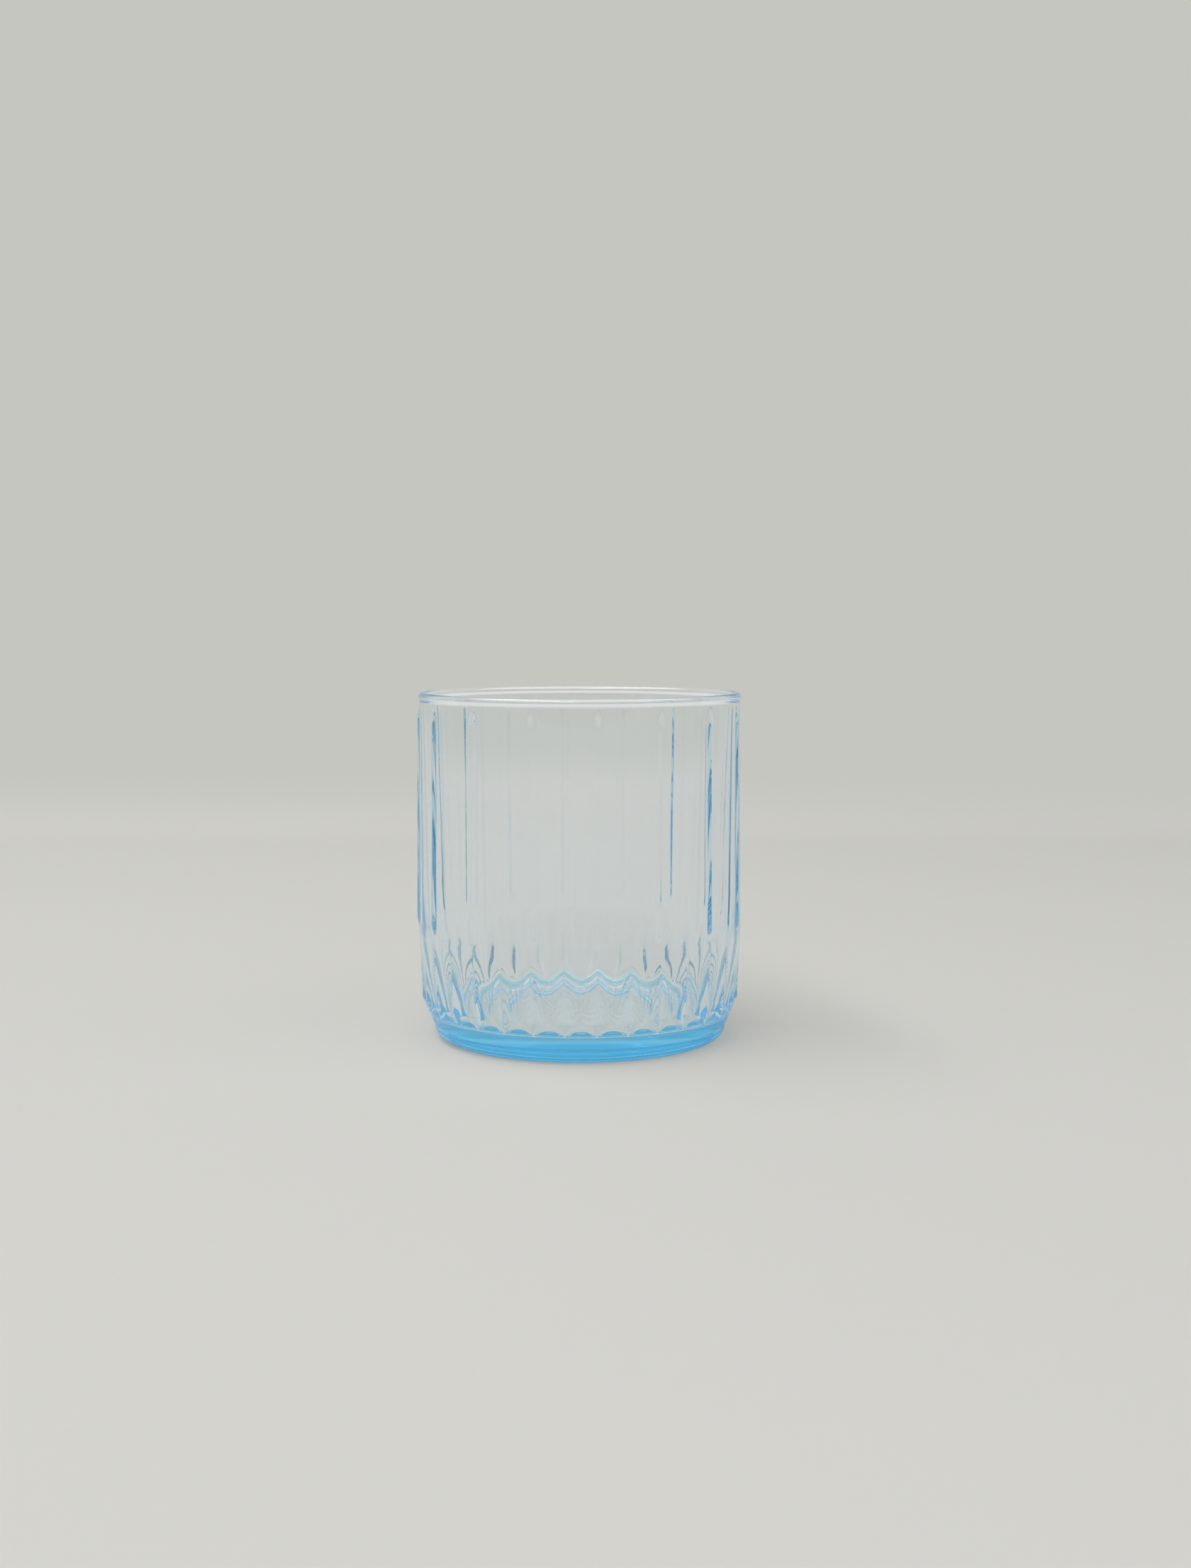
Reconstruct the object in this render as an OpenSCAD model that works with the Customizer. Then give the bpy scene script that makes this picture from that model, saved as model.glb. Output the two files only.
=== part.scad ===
// Juice tumbler of pressed, blue-tinted glass.
// A rolled lip, a drinking wall with narrow upright ribs, a heel cut with upright flutes
// and a thick base on a rounded foot. The body is drawn as four zones, one above the other,
// which meet on level rings.

/* [Body] */
// Height from the table to the top of the lip
glass_h = 86; // [75:1:110]
// Outside diameter of the plain collar under the lip
collar_d = 79.5; // [68:0.5:95]
// How much wider the wall's radius is at its foot than at the collar
wall_swell = 0.35; // [0.05:0.05:1]
// Thickness of the wall at the lip
wall_t = 1.85; // [1.5:0.05:3]
// How much the inside narrows from the lip down to where the wall thickens
inside_draw = 0.95; // [0.1:0.05:1.5]

/* [Lip] */
// Height of the collar and the lip together
lip_zone_h = 4; // [3.5:0.5:8]
// How far the lip's bead stands proud of the collar
lip_proud = 0.15; // [0.05:0.05:0.6]

/* [Ribs] */
// Number of upright ribs round the wall
rib_count = 16; // [12:1:20]
// Radius of a rib's rounded back
rib_r = 2.4; // [1.6:0.1:4]
// How far a rib stands proud of the wall
rib_proud = 0.5; // [0.1:0.05:0.7]
// Plain height between the upper end of a rib and the collar
rib_top_gap = 0.8; // [0.4:0.1:4]
// Plain height between the lower end of a rib and the heel
rib_foot_gap = 1; // [0.4:0.1:4]
// Turn of the ribs and flutes about the axis, in degrees
pattern_turn = 6.1; // [0:0.1:22]

/* [Fluted heel] */
// Height of the heel's upper edge above the table
heel_top = 27; // [22:0.5:34]
// How much the ridges draw in from the heel's upper edge to their lower bend
heel_draw = 0.7; // [0.2:0.1:2]
// Height of the short taper below that bend, down to the floor of the glass
taper_h = 3.2; // [2:0.1:5]
// How much the ridges draw in along the short taper
taper_draw = 1.4; // [1:0.1:2]
// Number of flutes between two neighbouring ribs
flutes_per_bay = 2; // [1:1:3]
// Depth of a flute below its two ridges, at the lower bend
flute_depth = 1.3; // [0.6:0.1:1.8]
// Plain height between the upper end of a flute and the heel's upper edge
flute_top_gap = 0.5; // [0.3:0.1:3]
// Angle at which the round of a flute opens out upwards, in degrees
flute_flare = 30; // [10:1:34]
// Radius of the rounded shoulder on which the flutes end
shoulder_r = 2.4; // [1.8:0.1:2.8]
// How far the shoulder stands proud of the ridges' lower ends
shoulder_proud = 0.1; // [0.05:0.05:0.3]
// Radius of the curve by which the wall thickens inside the heel
thicken_r = 150; // [110:1:260]
// Height of that curve above the floor of the glass
thicken_h = 33; // [24:0.5:36]
// Radius of the inside corner between wall and floor
corner_r = 2.4; // [1.2:0.1:5]

/* [Base] */
// Thickness of the base, from the table to the floor of the glass
base_h = 7; // [6:0.1:11]
// How much the side of the foot draws in below the shoulder
foot_draw = 1.7; // [0.8:0.1:4]
// Radius of the foot's lower edge
foot_edge_r = 3.3; // [1:0.1:4]
// Width of the flat ring on which the glass stands
stand_w = 7.1; // [3:0.1:14]
// Depth of the hollow inside that ring
punt_depth = 1.6; // [0.4:0.1:3]

/* [Hidden] */
$fn = 96;
spare = 1;
glass_blue = [0.62, 0.82, 0.95];

// Levels
collar_z = glass_h - lip_zone_h;
bead_r = (wall_t + lip_proud) / 2;
bead_z = glass_h - bead_r;
bend_z = base_h + taper_h;
thicken_z = base_h + thicken_h;

// Radii of the outside
collar_r = collar_d / 2;
wall_foot_r = collar_r + wall_swell;
bend_r = wall_foot_r - heel_draw;
ridge_end_r = bend_r - taper_draw;
shoulder_out_r = ridge_end_r + shoulder_proud;
foot_r = shoulder_out_r - foot_draw;
stand_r = foot_r - foot_edge_r;

// The inside: a long cone below the lip, a wide curve in the heel and a corner that touches it
lip_in_r = collar_r - wall_t;
thicken_in_r = lip_in_r - inside_draw;
corner_centre_z = base_h + corner_r;
corner_drop = asin((thicken_z - corner_centre_z) / (thicken_r - corner_r));
corner_centre_r = thicken_in_r - thicken_r + (thicken_r - corner_r) * cos(corner_drop);
corner_top_z = corner_centre_z - corner_r * sin(corner_drop);

// The hollow under the base is part of a ball
punt_r = stand_r - stand_w;
punt_ball_r = (pow(punt_r, 2) + pow(punt_depth, 2)) / (2 * punt_depth);

// The ribs follow the lean of the wall
wall_lean = atan(wall_swell / (collar_z - heel_top));
rib_end_run = sqrt(pow(rib_r, 2) - pow(rib_r - rib_proud, 2));
rib_low_z = heel_top + rib_foot_gap + rib_end_run;
rib_high_z = collar_z - rib_top_gap - rib_end_run;

// Neighbouring flutes meet in a ridge, so their round follows from their depth and pitch
flute_count = rib_count * flutes_per_bay;
flute_pitch = 360 / flute_count;
half_chord = bend_r * sin(flute_pitch / 2);
flute_round = (pow(half_chord, 2) + pow(flute_depth, 2)) / (2 * flute_depth);
flute_foot_r = bend_r * cos(flute_pitch / 2) - flute_depth;
flute_top_z = heel_top - flute_top_gap;
flute_lean = atan((wall_foot_r - flute_foot_r) / (flute_top_z - bend_z));

function inside_r(z) = lip_in_r - inside_draw * (bead_z - z) / (bead_z - thicken_z);
function wall_r(z) = wall_foot_r - (z - heel_top) * tan(wall_lean);

// Everything between two levels
module level_slab(low, high) {
    translate([0, 0, low])
        cylinder(h = high - low, r = wall_foot_r + rib_proud + spare);
}

// The space that the drink fills
module drink_space() {
    rotate_extrude() {
        polygon([
            [0, thicken_z],
            [thicken_in_r, thicken_z],
            [inside_r(bead_z + spare), bead_z + spare],
            [0, bead_z + spare],
        ]);
        intersection() {
            translate([thicken_in_r - thicken_r, thicken_z])
                circle(thicken_r, $fn = 720);
            translate([0, corner_top_z])
                square([thicken_in_r, thicken_z - corner_top_z]);
        }
        intersection() {
            translate([corner_centre_r, corner_centre_z])
                circle(corner_r);
            translate([0, base_h])
                square([thicken_in_r, corner_top_z - base_h]);
        }
        translate([0, base_h])
            square([corner_centre_r, corner_top_z - base_h]);
    }
}

// A bar with round ends, sunk in the wall so that only its back stands out
module rib() {
    run = (rib_high_z - rib_low_z) / cos(wall_lean);
    translate([wall_r(rib_low_z) - rib_r + rib_proud, 0, rib_low_z])
        rotate([0, -wall_lean, 0])
            rotate_extrude()
                intersection() {
                    union() {
                        circle(rib_r);
                        square([rib_r, run]);
                        translate([0, run])
                            circle(rib_r);
                    }
                    translate([0, -rib_r])
                        square([rib_r, run + 2 * rib_r]);
                }
}

// The round that cuts one flute: its inner edge leans out to the upper end of the flute
module flute_cut() {
    foot_round = flute_round * cos(flute_flare);
    below = taper_h - spare / 4;
    above = 2 * (heel_top - bend_z);
    opening = tan(flute_flare);
    translate([flute_foot_r, 0, bend_z])
        rotate([0, flute_lean + flute_flare, 0])
            translate([foot_round, 0, -below])
                cylinder(
                    h = below + above,
                    r1 = foot_round - below * opening,
                    r2 = foot_round + above * opening
                );
}

module rim() {
    color(glass_blue)
        rotate_extrude() {
            polygon([
                [inside_r(collar_z), collar_z],
                [collar_r, collar_z],
                [collar_r, bead_z],
                [lip_in_r, bead_z],
            ]);
            translate([lip_in_r + bead_r, bead_z])
                circle(bead_r);
        }
}

module ribbed_wall() {
    color(glass_blue)
        difference() {
            union() {
                rotate_extrude()
                    polygon([
                        [0, heel_top],
                        [wall_foot_r, heel_top],
                        [collar_r, collar_z],
                        [0, collar_z],
                    ]);
                intersection() {
                    level_slab(heel_top, collar_z);
                    for (i = [0 : rib_count - 1])
                        rotate([0, 0, pattern_turn + i * 360 / rib_count])
                            rib();
                }
            }
            drink_space();
        }
}

module fluted_heel() {
    color(glass_blue)
        difference() {
            union() {
                difference() {
                    rotate_extrude()
                        polygon([
                            [0, base_h],
                            [ridge_end_r, base_h],
                            [bend_r, bend_z],
                            [wall_foot_r, heel_top],
                            [0, heel_top],
                        ]);
                    for (i = [0 : flute_count - 1])
                        rotate([0, 0, pattern_turn + (i + 0.5) * flute_pitch])
                            flute_cut();
                }
                rotate_extrude()
                    intersection() {
                        translate([shoulder_out_r - shoulder_r, base_h])
                            circle(shoulder_r);
                        translate([0, base_h])
                            square([shoulder_out_r, shoulder_r]);
                    }
            }
            drink_space();
        }
}

module base() {
    color(glass_blue)
        difference() {
            rotate_extrude() {
                polygon([
                    [0, 0],
                    [stand_r, 0],
                    [foot_r, foot_edge_r],
                    [shoulder_out_r, base_h],
                    [0, base_h],
                ]);
                intersection() {
                    translate([stand_r, foot_edge_r])
                        circle(foot_edge_r);
                    square([foot_r, foot_edge_r]);
                }
            }
            rotate_extrude()
                intersection() {
                    translate([0, punt_depth - punt_ball_r])
                        circle(punt_ball_r, $fn = 720);
                    translate([0, -spare])
                        square([punt_ball_r, punt_depth + 2 * spare]);
                }
        }
}

rim();
ribbed_wall();
fluted_heel();
base();
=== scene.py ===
# pressed juice tumbler of blue-tinted glass, on a pale paper sweep
import math

import bpy
import numpy as np
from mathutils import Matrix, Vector


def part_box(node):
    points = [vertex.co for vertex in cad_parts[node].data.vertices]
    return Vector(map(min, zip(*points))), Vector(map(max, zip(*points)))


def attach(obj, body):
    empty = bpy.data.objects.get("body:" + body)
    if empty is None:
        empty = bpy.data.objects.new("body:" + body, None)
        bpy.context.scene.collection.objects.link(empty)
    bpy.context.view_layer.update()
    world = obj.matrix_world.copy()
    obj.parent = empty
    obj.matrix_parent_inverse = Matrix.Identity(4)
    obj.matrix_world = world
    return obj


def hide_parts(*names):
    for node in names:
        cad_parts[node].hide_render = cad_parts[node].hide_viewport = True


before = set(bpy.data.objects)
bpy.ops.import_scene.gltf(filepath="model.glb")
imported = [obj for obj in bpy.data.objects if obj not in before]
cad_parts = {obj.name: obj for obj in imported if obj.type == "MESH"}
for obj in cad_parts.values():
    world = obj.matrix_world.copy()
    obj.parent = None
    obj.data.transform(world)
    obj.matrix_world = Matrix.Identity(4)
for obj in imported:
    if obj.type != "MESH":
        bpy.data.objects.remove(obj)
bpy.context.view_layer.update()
mm = 0.001
print("frame loaded:", sorted(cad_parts))


# lowest and highest level of a packed zone, in mm
def levels(node):
    low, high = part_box(node)
    return low.z / mm, high.z / mm


lipTop = levels("rim")[1]
wallBottom, wallTop = levels("ribbed_wall")
heelTop = levels("fluted_heel")[1]
floorLevel = levels("base")[1]


# sizes in mm, turn in degrees, waves in radians
tumbler = {
    "ribs": 16,
    "flutesPerBay": 2,       # a bay lies between two ribs
    "turn": 6.4,             # from the front to the nearest rib
    "collarRadius": 39.75,
    "wallFootRadius": 40.1,
    "lipWall": 1.85,
    "lipProud": 0.25,        # the bead stands out on both sides of the wall
    "lipProudInside": 0.05,
    "ribProud": 0.5,
    "ribHalf": 1.45,         # half the width of a rib
    "ribCrest": 0.05,        # how round its crest is
    "ribBlend": 0.06,        # how softly its sides run into the wall
    "ribTopStretch": 2.6,    # the upper end of a rib runs out slowly, its foot is rounder
    "ribFootStretch": 1.5,
    "ribFootGap": 1.0,       # plain height between a rib and the heel
    "ribTopRise": 0.7,       # how far the ribs reach up beside the collar
    "fluteFootRadius": 38.0,  # middle of a flute, at the level where the ridges turn in
    "fluteTopGap": 0.5,
    "fluteCurve": 1.35,      # above 1 the flutes start gently at their top
    "ridgeSoftness": 0.1,    # how round the ridges are, 0 is sharp
    "ridgeFoot": 10.2,       # level at which the ridges turn in
    "ridgeFootRadius": 39.4,
    "shoulderSide": 38.0,    # radius of the ridges where they meet the shoulder
    "shoulderRadius": 38.1,
    "shoulderRound": 2.4,
    "shoulderBlend": 0.12,   # how softly the flutes run out on the shoulder
    "footRadius": 36.4,
    "footEdge": 3.3,
    "puntRadius": 26.0,      # the hollow under the base
    "puntDepth": 0.8,
    "puntStep": 4.0,         # width of the slope from the stand ring to the hollow
    "insideDraw": 0.95,      # how much the inside narrows down to where the wall thickens
    "thickenRound": 150.0,   # curve by which the wall thickens in the heel
    "thickenHeight": 33.0,   # height of that curve above the floor of the glass
    "cornerRound": 1.3,
    "insideWaves": [         # slow unevenness: waves in a turn, and mm of height for each radian
        {"high": 0.01, "round": 3, "roundStart": 0.7, "up": 9.0, "upStart": 1.1},
        {"high": 0.006, "round": 5, "roundStart": 2.1, "up": 5.3, "upStart": 0.0},
    ],
    "waveFade": 6.0,         # height above the floor over which those waves set in
    "ripple": {              # unevenness of the hollow, in radians for each mm
        "high": 0.02,
        "across": 0.9,
        "along": 0.7,
        "alongStart": 0.8,
        "sway": 1.3,
        "swayAlong": 0.35,
        "fade": 4,           # the higher, the further it reaches towards the edge
    },
    # the stand ring is dished, by turns more and less
    "ringDish": {"deep": 0.08, "change": 0.3, "round": 5, "roundStart": 0.8},
    "rows": {                # rings of points on each stretch of the outline
        "hollow": 7,
        "hollowSlope": 8,
        "standRing": 7,
        "footEdge": 10,
        "foot": 6,
        "shoulder": 18,
        "flutes": 22,
        "ribFeet": 8,
        "ribs": 4,
        "ribTops": 8,
        "collar": 2,
        "bead": 22,
        "neck": 2,
        "inside": 9,
        "thickening": 12,
        "corner": 8,
        "floor": 4,
    },
    "ribFootRows": 3.4,      # heights over which rows lie close together
    "ribTopRows": 4.4,
    "neckRows": 0.3,
    "ribTopSpare": 0.2,      # how far the close rows reach past the ribs' upper ends
    "collarGap": 0.04,       # the collar's last row keeps this far below the bead
    "columns": {"rib": 16, "flute": 9, "ridge": 6},  # points across each of these
    "ribReach": 1.15,        # a rib's columns reach a little past its sides
    "ridgeShare": 0.09,      # part of a flute's width that counts as its ridge
}
tumbler["standRadius"] = tumbler["footRadius"] - tumbler["footEdge"]


def lineOf(start, end, steps):
    t = np.linspace(0, 1, steps + 1)[1:, None]
    return np.array(start) + (np.array(end) - np.array(start)) * t


def arcOf(centre, radius, fromDeg, toDeg, steps):
    a = np.radians(np.linspace(fromDeg, toDeg, steps + 1)[1:])
    return np.stack([centre[0] + radius * np.cos(a), centre[1] + radius * np.sin(a)], -1)


# larger of two values; where they are level it is a quarter of the width above both
def smoothMax(a, b, width):
    h = np.clip(0.5 + 0.5 * (a - b) / width, 0, 1)
    return b + (a - b) * h + width * h * (1 - h)


def ease(low, high, x):
    t = np.clip((x - low) / (high - low), 0, 1)
    return t * t * (3 - 2 * t)


# the lip's bead, and the angles at which it meets the collar and the inside
def lipBead(glass):
    inside = glass["collarRadius"] - glass["lipWall"]
    beadRound = (glass["lipWall"] + glass["lipProud"] + glass["lipProudInside"]) / 2
    centre = (inside - glass["lipProudInside"] + beadRound, lipTop - beadRound)
    return {
        "inside": inside,
        "round": beadRound,
        "centre": centre,
        "collarMeet": math.acos((glass["collarRadius"] - centre[0]) / beadRound),
        "insideMeet": math.acos((centre[0] - inside) / beadRound),
    }


# plain outline from the middle of the underside, up the outside and over the lip
def outsideOutline(glass):
    rows = glass["rows"]
    bead = lipBead(glass)
    beadStart = bead["centre"][1] - bead["round"] * math.sin(bead["collarMeet"])
    ribTop = wallTop + glass["ribTopRise"]
    flatEdge = glass["puntRadius"] - glass["puntStep"]
    hollowReach = np.concatenate([
        np.linspace(0, flatEdge, rows["hollow"], endpoint=False),
        np.linspace(flatEdge, glass["puntRadius"], rows["hollowSlope"] + 1),
    ])
    hollowLevel = glass["puntDepth"] * (1 - ease(flatEdge, glass["puntRadius"], hollowReach))
    footCentre = (glass["standRadius"], glass["footEdge"])
    footSide = (glass["footRadius"], glass["footEdge"])
    shoulder = (glass["shoulderSide"], floorLevel)
    ridgeBend = (glass["ridgeFootRadius"], glass["ridgeFoot"])
    wallFoot = (glass["wallFootRadius"], heelTop)
    ribFeet = (glass["wallFootRadius"], heelTop + glass["ribFootRows"])
    ribTops = (glass["collarRadius"], ribTop - glass["ribTopRows"])
    ribEnds = (glass["collarRadius"], ribTop + glass["ribTopSpare"])
    collar = (glass["collarRadius"], beadStart - glass["collarGap"])
    beadFrom = -math.degrees(bead["collarMeet"])
    beadTo = 180 + math.degrees(bead["insideMeet"])
    return np.vstack([
        np.stack([hollowReach, hollowLevel], -1),
        lineOf((glass["puntRadius"], 0), (glass["standRadius"], 0), rows["standRing"]),
        arcOf(footCentre, glass["footEdge"], -90, 0, rows["footEdge"]),
        lineOf(footSide, shoulder, rows["foot"]),
        lineOf(shoulder, ridgeBend, rows["shoulder"]),
        lineOf(ridgeBend, wallFoot, rows["flutes"]),
        lineOf(wallFoot, ribFeet, rows["ribFeet"]),
        lineOf(ribFeet, ribTops, rows["ribs"]),
        lineOf(ribTops, ribEnds, rows["ribTops"]),
        lineOf(ribEnds, collar, rows["collar"]),
        arcOf(bead["centre"], bead["round"], beadFrom, beadTo, rows["bead"]),
    ])


# plain outline from the lip down the inside, round the corner and to the middle of the floor
def insideOutline(glass):
    rows = glass["rows"]
    bead = lipBead(glass)
    beadEnd = bead["centre"][1] - bead["round"] * math.sin(bead["insideMeet"])
    neckTop = (bead["inside"], beadEnd)
    neckFoot = (bead["inside"], beadEnd - glass["neckRows"])
    thickenStart = (bead["inside"] - glass["insideDraw"], floorLevel + glass["thickenHeight"])
    curve = glass["thickenRound"]
    corner = glass["cornerRound"]
    curveCentre = (thickenStart[0] - curve, thickenStart[1])
    cornerLevel = floorLevel + corner
    drop = math.asin((thickenStart[1] - cornerLevel) / (curve - corner))
    cornerCentre = (curveCentre[0] + (curve - corner) * math.cos(drop), cornerLevel)
    dropDeg = math.degrees(drop)
    return np.vstack([
        lineOf(neckTop, neckFoot, rows["neck"]),
        lineOf(neckFoot, thickenStart, rows["inside"]),
        arcOf(curveCentre, curve, 0, -dropDeg, rows["thickening"]),
        arcOf(cornerCentre, corner, -dropDeg, -90, rows["corner"]),
        lineOf((cornerCentre[0], floorLevel), (0, floorLevel), rows["floor"]),
    ])


# low roof-shaped ribs, whose sides and ends run out into the wall
def addRibs(r, z, turned, glass):
    pitch = 2 * math.pi / glass["ribs"]
    across = ((turned + pitch / 2) % pitch - pitch / 2) * glass["wallFootRadius"]
    ribLow = wallBottom + glass["ribFootGap"]
    ribHigh = wallTop + glass["ribTopRise"]
    footPast = (ribLow - z) / glass["ribFootStretch"] + glass["ribHalf"]
    topPast = (z - ribHigh) / glass["ribTopStretch"] + glass["ribHalf"]
    fromCrest = np.hypot(across, np.maximum(np.maximum(footPast, topPast), 0))
    slope = glass["ribProud"] / glass["ribHalf"]
    back = glass["ribProud"] - slope * (np.hypot(fromCrest, glass["ribCrest"]) - glass["ribCrest"])
    proud = smoothMax(back, 0, glass["ribBlend"]) - glass["ribBlend"] / 4
    return r + np.maximum(proud, 0)


# flutes in the heel, which run out on the foot's rounded shoulder
def cutFlutes(r, z, turned, glass):
    pitch = 2 * math.pi / glass["ribs"] / glass["flutesPerBay"]
    # 0 on a ridge, 1 in the middle of a flute
    share = np.abs((turned + pitch / 2) % pitch - pitch / 2) / (pitch / 2)
    soft = glass["ridgeSoftness"]
    share = (np.sqrt(share ** 2 + soft ** 2) - soft) / (math.sqrt(1 + soft ** 2) - soft)
    fluteTop = heelTop - glass["fluteTopGap"]
    fall = np.maximum(fluteTop - z, 0) / (fluteTop - glass["ridgeFoot"])
    depth = fall ** glass["fluteCurve"] * (glass["wallFootRadius"] - glass["fluteFootRadius"])
    fluteMiddle = glass["wallFootRadius"] - depth
    cut = r - np.maximum(r - fluteMiddle, 0) * (1 - (1 - share) ** 2)
    bend = glass["shoulderRound"]
    above = np.clip(z - floorLevel, 0, bend)
    shoulder = glass["shoulderRadius"] - bend + np.sqrt(bend ** 2 - above ** 2)
    formed = np.where(z < glass["ridgeFoot"], smoothMax(cut, shoulder, glass["shoulderBlend"]), cut)
    return np.where((z > floorLevel) & (z < heelTop), formed, r)


def waveInside(r, z, azimuth, glass):
    offset = 0
    for wave in glass["insideWaves"]:
        aroundWall = np.sin(wave["round"] * azimuth + wave["roundStart"])
        offset = offset + wave["high"] * aroundWall * np.sin(z / wave["up"] + wave["upStart"])
    return r + offset * ease(0, glass["waveFade"], z - floorLevel)


# the hollow is a little uneven, and the ring round it a little dished
def waveUnder(r, z, azimuth, glass):
    x = r * np.sin(azimuth)
    y = r * np.cos(azimuth)
    ripple = glass["ripple"]
    sway = ripple["sway"] * np.sin(y * ripple["swayAlong"])
    uneven = np.sin(x * ripple["across"] + sway) * np.sin(y * ripple["along"] + ripple["alongStart"])
    fade = np.maximum(1 - (r / glass["puntRadius"]) ** ripple["fade"], 0)
    dish = glass["ringDish"]
    onRing = np.clip((r - glass["puntRadius"]) / (glass["standRadius"] - glass["puntRadius"]), 0, 1)
    swell = 1 - dish["change"] + dish["change"] * np.sin(dish["round"] * azimuth + dish["roundStart"])
    return z + ripple["high"] * uneven * fade + dish["deep"] * swell * np.sin(math.pi * onRing) ** 2


# angles round the glass, close together on the ribs and the ridges
def columnAngles(glass):
    columns = glass["columns"]
    bay = 2 * math.pi / glass["ribs"]
    ribEdge = glass["ribReach"] * glass["ribHalf"] / glass["wallFootRadius"]
    ridgeEdge = glass["ridgeShare"] * bay / glass["flutesPerBay"] / 2
    middle = bay / 2
    oneBay = np.concatenate([
        np.linspace(-ribEdge, ribEdge, columns["rib"], endpoint=False),
        np.linspace(ribEdge, middle - ridgeEdge, columns["flute"], endpoint=False),
        np.linspace(middle - ridgeEdge, middle + ridgeEdge, columns["ridge"], endpoint=False),
        np.linspace(middle + ridgeEdge, bay - ribEdge, columns["flute"], endpoint=False),
    ])
    allBays = np.concatenate([oneBay + bay * k for k in range(glass["ribs"])])
    return allBays + math.radians(glass["turn"])


def spread(outline, count):
    return np.repeat(outline[:, :1], count, 1), np.repeat(outline[:, 1:], count, 1)


# one row of points for each point of the outline, in metres
def tumblerPoints(glass):
    azimuth = columnAngles(glass)
    turned = azimuth - math.radians(glass["turn"])
    rOut, zOut = spread(outsideOutline(glass), len(azimuth))
    rOut = addRibs(rOut, zOut, turned, glass)
    rOut = cutFlutes(rOut, zOut, turned, glass)
    zOut = waveUnder(rOut, zOut, azimuth, glass)
    rIn, zIn = spread(insideOutline(glass), len(azimuth))
    rIn = waveInside(rIn, zIn, azimuth, glass)
    r = np.vstack([rOut, rIn])
    z = np.vstack([zOut, zIn])
    return np.stack([r * np.sin(azimuth), -r * np.cos(azimuth), z], -1) * mm


def makeTumbler(glass):
    points = tumblerPoints(glass)
    rings = points[1:-1]     # the first and last rows are single points on the axis
    rows, columns = rings.shape[:2]
    verts = np.vstack([rings.reshape(-1, 3), points[:1, 0], points[-1:, 0]])
    underMiddle = rows * columns
    floorMiddle = underMiddle + 1
    here = np.arange(columns)
    after = (here + 1) % columns
    faces = []
    for row in range(rows - 1):
        near = row * columns
        far = near + columns
        faces += np.stack([near + here, near + after, far + after, far + here], -1).tolist()
    last = (rows - 1) * columns
    faces += np.stack([np.full(columns, underMiddle), after, here], -1).tolist()
    faces += np.stack([np.full(columns, floorMiddle), last + here, last + after], -1).tolist()
    mesh = bpy.data.meshes.new("tumbler")
    mesh.from_pydata(verts.tolist(), [], faces)
    mesh.validate()
    mesh.update()
    mesh.shade_smooth()
    piece = bpy.data.objects.new("tumbler", mesh)
    bpy.context.scene.collection.objects.link(piece)
    print("tumbler:", rows, "rings of", columns, "points,", len(faces), "faces")
    return piece


# shader sockets that take Python operators
class Sock:
    def __init__(self, tree, socket):
        self.tree = tree
        self.socket = socket

    def math(self, operation, other, swap=False):
        node = self.tree.nodes.new("ShaderNodeMath")
        node.operation = operation
        pair = (other, self) if swap else (self, other)
        for slot, value in zip(node.inputs, pair):
            if isinstance(value, Sock):
                self.tree.links.new(value.socket, slot)
            else:
                slot.default_value = value
        return Sock(self.tree, node.outputs[0])

    def __add__(self, other):
        return self.math("ADD", other)

    def __radd__(self, other):
        return self.math("ADD", other, True)

    def __mul__(self, other):
        return self.math("MULTIPLY", other)

    def __rmul__(self, other):
        return self.math("MULTIPLY", other, True)

    def __sub__(self, other):
        return self.math("SUBTRACT", other)

    def __rsub__(self, other):
        return self.math("SUBTRACT", other, True)


class Shader:
    def __init__(self, owner):
        owner.use_nodes = True
        self.tree = owner.node_tree
        self.tree.nodes.clear()

    def add(self, kind, settings=None, sockets=None, out=0):
        node = self.tree.nodes.new(kind)
        for key, value in (settings or {}).items():
            setattr(node, key, value)
        for key, value in (sockets or {}).items():
            if isinstance(value, Sock):
                self.tree.links.new(value.socket, node.inputs[key])
            else:
                node.inputs[key].default_value = value
        return Sock(self.tree, node.outputs[out]) if node.outputs else node

    # 0 at the first value, 1 at the last
    def between(self, value, first, last):
        sockets = {"Value": value, "From Min": first, "From Max": last}
        return self.add("ShaderNodeMapRange", {"interpolation_type": "SMOOTHSTEP"}, sockets)

    # the colour sockets of this node share their names with others, so they go by number
    def blend(self, share, first, second):
        return self.add("ShaderNodeMix", {"data_type": "RGBA"}, {0: share, 6: first, 7: second}, 2)


# heights and radii in metres
tintedGlass = {
    "ior": 1.52,
    "throughColor": (0.0, 0.69, 0.985, 1),
    "perMetre": 12.5,
    "wallColor": (1.0, 1.0, 1.0, 1),
    "baseColor": (0.24, 0.76, 1.0, 1),  # deeper tint on the side of the base
    "tintTop": 0.007,        # heights and radii between which that tint sets in
    "tintFull": 0.0058,
    "tintInside": 0.0335,
    "tintOutside": 0.0355,
    "rippleScale": 110.0,
    "rippleDetail": 1.0,
    "rippleHeight": 0.000004,
}


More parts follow.
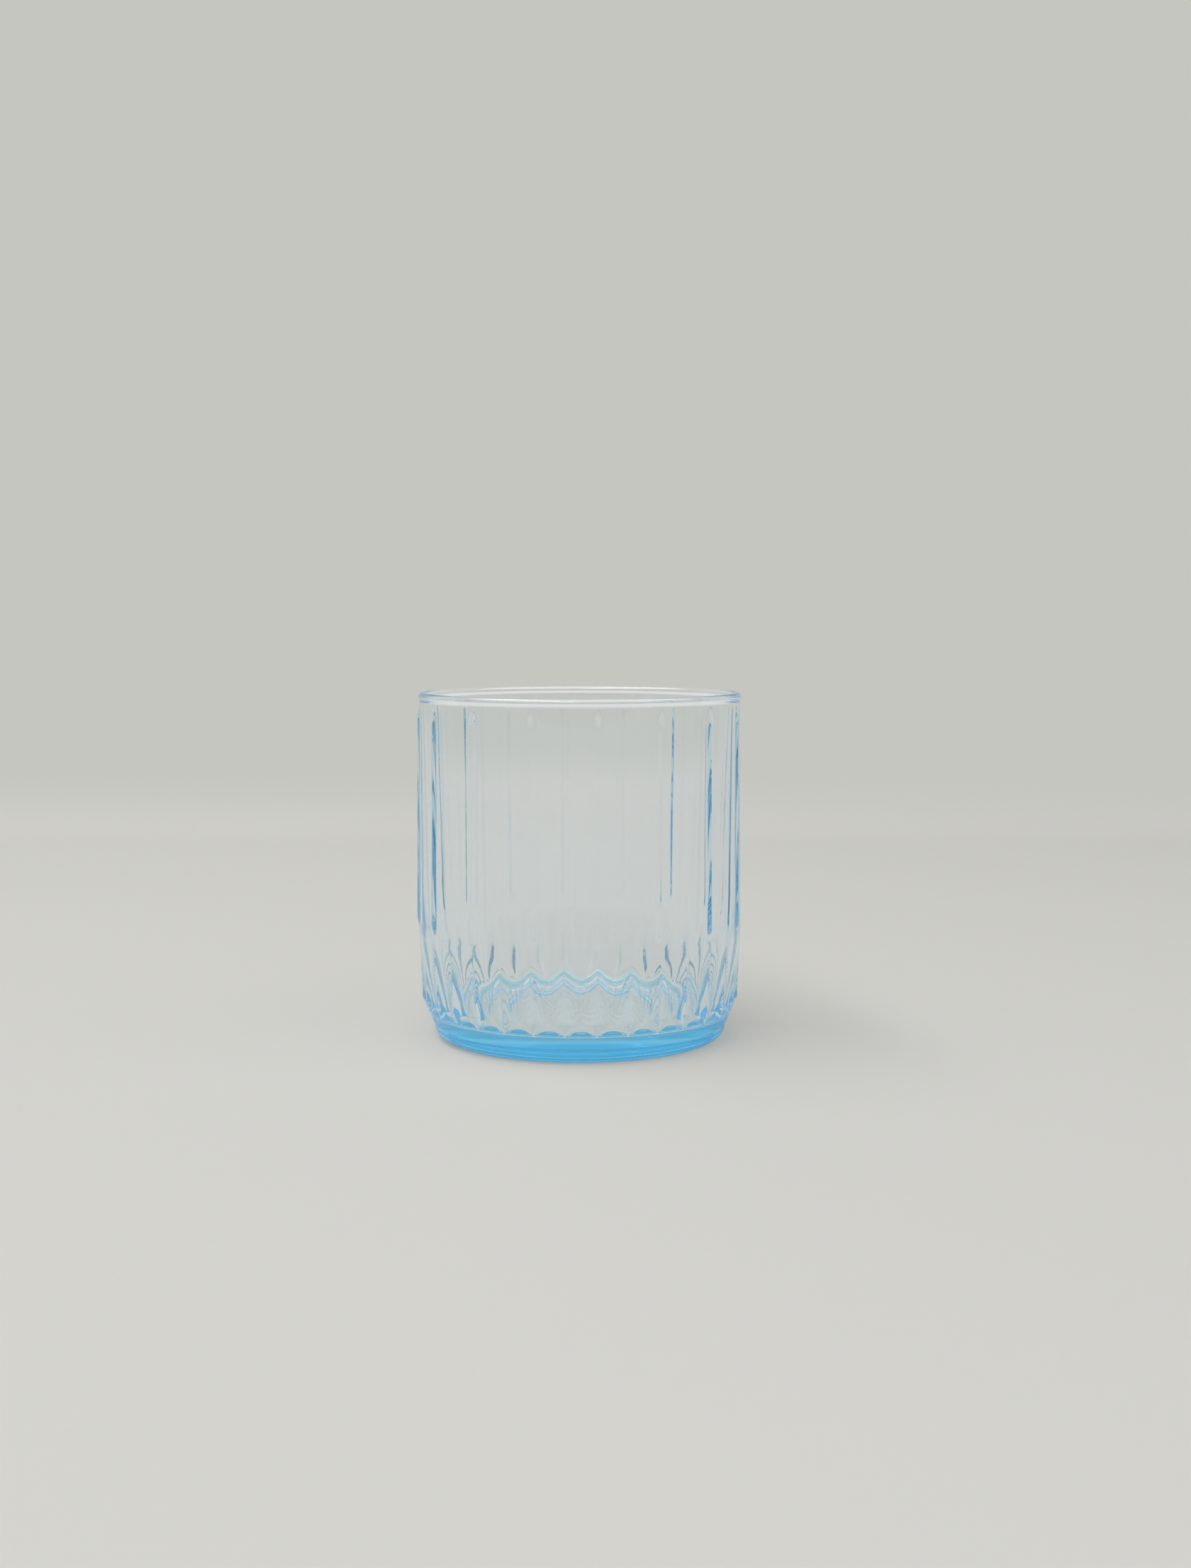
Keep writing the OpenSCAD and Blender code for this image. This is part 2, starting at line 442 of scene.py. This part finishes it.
def glassMaterial(finish):
    material = bpy.data.materials.new("tintedGlass")
    shader = Shader(material)
    ripple = shader.add("ShaderNodeTexNoise", {}, {
        "Vector": shader.add("ShaderNodeTexCoord", out="Object"),
        "Scale": finish["rippleScale"],
        "Detail": finish["rippleDetail"],
    })
    bump = shader.add("ShaderNodeBump", {}, {
        "Strength": 1.0,
        "Distance": finish["rippleHeight"],
        "Height": ripple,
    })
    spot = shader.add("ShaderNodeNewGeometry", out="Position")
    height = shader.add("ShaderNodeSeparateXYZ", {}, {"Vector": spot}, "Z")
    level = shader.add("ShaderNodeVectorMath", {"operation": "MULTIPLY"}, {0: spot, 1: (1, 1, 0)})
    fromAxis = shader.add("ShaderNodeVectorMath", {"operation": "LENGTH"}, {0: level}, "Value")
    low = shader.between(height, finish["tintTop"], finish["tintFull"])
    outer = shader.between(fromAxis, finish["tintInside"], finish["tintOutside"])
    surface = shader.add("ShaderNodeBsdfPrincipled", {}, {
        "Base Color": shader.blend(low * outer, finish["wallColor"], finish["baseColor"]),
        "Roughness": 0.0,
        "IOR": finish["ior"],
        "Transmission Weight": 1.0,
        "Normal": bump,
    })
    depth = shader.add("ShaderNodeVolumeAbsorption", {}, {
        "Color": finish["throughColor"],
        "Density": finish["perMetre"],
    })
    shader.add("ShaderNodeOutputMaterial", {}, {"Surface": surface, "Volume": depth})
    return material


# sizes in metres
paperSweep = {
    "halfWidth": 3.0,
    "front": -1.8,
    "bendStart": 0.42,
    "bend": 0.06,
    "bendSteps": 16,
    "top": 2.4,
    "below": 0.00006,        # thin air gap under the glass
    "roughness": 0.9,
    "table": (0.63, 0.625, 0.60, 1),
    "wall": (0.558, 0.564, 0.525, 1),
    "fadeFrom": 0.001,       # heights between which the table's tone turns into the wall's
    "fadeTo": 0.03,
    "clearFloor": 0.75,      # how much of the table shows without shadow through the glass
    "paintedShadowFill": 0.4,       # share of the table shown to the camera as an even glow: painted light that fills the glass's shadow
    "upperWall": (0.74, 0.76, 0.75, 1),  # brighter wall higher up, seen only through the glass
    "liftFrom": 0.085,
    "liftTo": 0.15,
}


def paperMaterial(paper):
    material = bpy.data.materials.new("palePaper")
    shader = Shader(material)
    spot = shader.add("ShaderNodeNewGeometry", out="Position")
    height = shader.add("ShaderNodeSeparateXYZ", {}, {"Vector": spot}, "Z")
    seen = shader.add("ShaderNodeLightPath", out="Is Camera Ray")
    glossy = shader.add("ShaderNodeLightPath", out="Is Glossy Ray")
    through = shader.add("ShaderNodeLightPath", out="Is Transmission Ray")
    onWall = shader.between(height, paper["fadeFrom"], paper["fadeTo"])
    high = shader.between(height, paper["liftFrom"], paper["liftTo"])
    tone = shader.blend(onWall, paper["table"], paper["wall"])
    lit = shader.blend(through * high, tone, paper["upperWall"])
    surface = shader.add("ShaderNodeBsdfPrincipled", {}, {
        "Base Color": tone,
        "Roughness": paper["roughness"],
        "Specular IOR Level": 0.0,
    })
    even = shader.add("ShaderNodeEmission", {}, {"Color": lit})
    wallShown = seen + glossy + through
    # part of the table glows evenly for the camera: painted light that lightens the glass's shadow
    tableShown = through * paper["clearFloor"] + seen * paper["paintedShadowFill"]
    shown = onWall * wallShown + (1 - onWall) * tableShown
    both = shader.add("ShaderNodeMixShader", {}, {0: shown, 1: surface, 2: even})
    shader.add("ShaderNodeOutputMaterial", {}, {"Surface": both})
    return material


def makeSweep(paper):
    ground = -paper["below"]
    bend = paper["bend"]
    profile = [(paper["front"], ground), (paper["bendStart"], ground)]
    for step in range(1, paper["bendSteps"] + 1):
        a = math.radians(90 * step / paper["bendSteps"])
        profile.append((paper["bendStart"] + bend * math.sin(a), ground + bend - bend * math.cos(a)))
    profile.append((paper["bendStart"] + bend, paper["top"]))
    verts = []
    for y, z in profile:
        verts += [(-paper["halfWidth"], y, z), (paper["halfWidth"], y, z)]
    faces = [(2 * k, 2 * k + 1, 2 * k + 3, 2 * k + 2) for k in range(len(profile) - 1)]
    mesh = bpy.data.meshes.new("paperSweep")
    mesh.from_pydata(verts, [], faces)
    mesh.update()
    mesh.shade_smooth()
    mesh.materials.append(paperMaterial(paper))
    sweep = bpy.data.objects.new("paperSweep", mesh)
    bpy.context.scene.collection.objects.link(sweep)
    return sweep


softLight = {
    "sides": (0.22, 0.225, 0.23, 1),
    "ceiling": (1.0, 1.0, 0.99, 1),
    "sidesUpTo": 0.15,       # sines of the elevations between which the ceiling's light begins
    "ceilingFrom": 0.75,
    "lamps": {
        "tubeLamp": {
            "at": (-0.4, -0.12, 1.0),
            "aim": (0, 0, 0),
            "size": (2.4, 0.2),
            "watts": 8.6,
            "lights": True,
        },
        "gleamCard": {       # shows only as a gleam in the glass
            "at": (0, -0.45, 1.2),
            "aim": (0, -0.45, 0),
            "size": (2.4, 1.9),
            "watts": 40.0,
            "lights": False,
        },
    },
}


def makeLamp(name, settings):
    lamp = bpy.data.lights.new(name, "AREA")
    lamp.shape = "RECTANGLE"
    lamp.size, lamp.size_y = settings["size"]
    lamp.energy = settings["watts"]
    holder = bpy.data.objects.new(name, lamp)
    bpy.context.scene.collection.objects.link(holder)
    holder.location = settings["at"]
    holder.visible_transmission = False  # never seen through the glass, only as a gleam on it
    holder.visible_diffuse = settings["lights"]
    pointing = Vector(settings["aim"]) - Vector(settings["at"])
    holder.rotation_euler = pointing.to_track_quat("-Z", "Y").to_euler()


def makeWorld(light):
    world = bpy.data.worlds.new("room")
    bpy.context.scene.world = world
    shader = Shader(world)
    direction = shader.add("ShaderNodeTexCoord", out="Generated")
    height = shader.add("ShaderNodeSeparateXYZ", {}, {"Vector": direction}, "Z")
    rise = shader.between(height, light["sidesUpTo"], light["ceilingFrom"])
    glow = shader.blend(rise, light["sides"], light["ceiling"])
    sky = shader.add("ShaderNodeBackground", {}, {"Color": glow})
    shader.add("ShaderNodeOutputWorld", {}, {"Surface": sky})


photoCamera = {
    "imageHeight": 2212,
    "focalPixels": 2842.9,
    "sensor": 36.0,          # mm along the picture's height
    "nearest": 10.0,         # mm to the first thing that shows
    "pitch": 5.0,            # degrees below level
    "at": (3.9, -500.4, 106.8),  # mm
}


def makeCamera(view):
    lens = bpy.data.cameras.new("photoCamera")
    lens.sensor_width = view["sensor"]
    lens.lens = view["focalPixels"] * view["sensor"] / view["imageHeight"]
    lens.clip_start = view["nearest"] * mm
    holder = bpy.data.objects.new("photoCamera", lens)
    bpy.context.scene.collection.objects.link(holder)
    holder.location = [v * mm for v in view["at"]]
    holder.rotation_euler = (math.radians(90 - view["pitch"]), 0, 0)
    bpy.context.scene.camera = holder


body = makeTumbler(tumbler)
body.data.materials.append(glassMaterial(tintedGlass))
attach(body, "root")
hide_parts("rim", "ribbed_wall", "fluted_heel", "base")
print("glass dressed")

makeSweep(paperSweep)
makeWorld(softLight)
for name, lamp in softLight["lamps"].items():
    makeLamp(name, lamp)
makeCamera(photoCamera)
print("stage, light and camera set")

# light goes through many walls of glass before it leaves
lightBounces = {"max_bounces": 64, "transmission_bounces": 64, "glossy_bounces": 32}
scene = bpy.context.scene
scene.view_settings.view_transform = "Standard"
for kind, count in lightBounces.items():
    setattr(scene.cycles, kind, count)
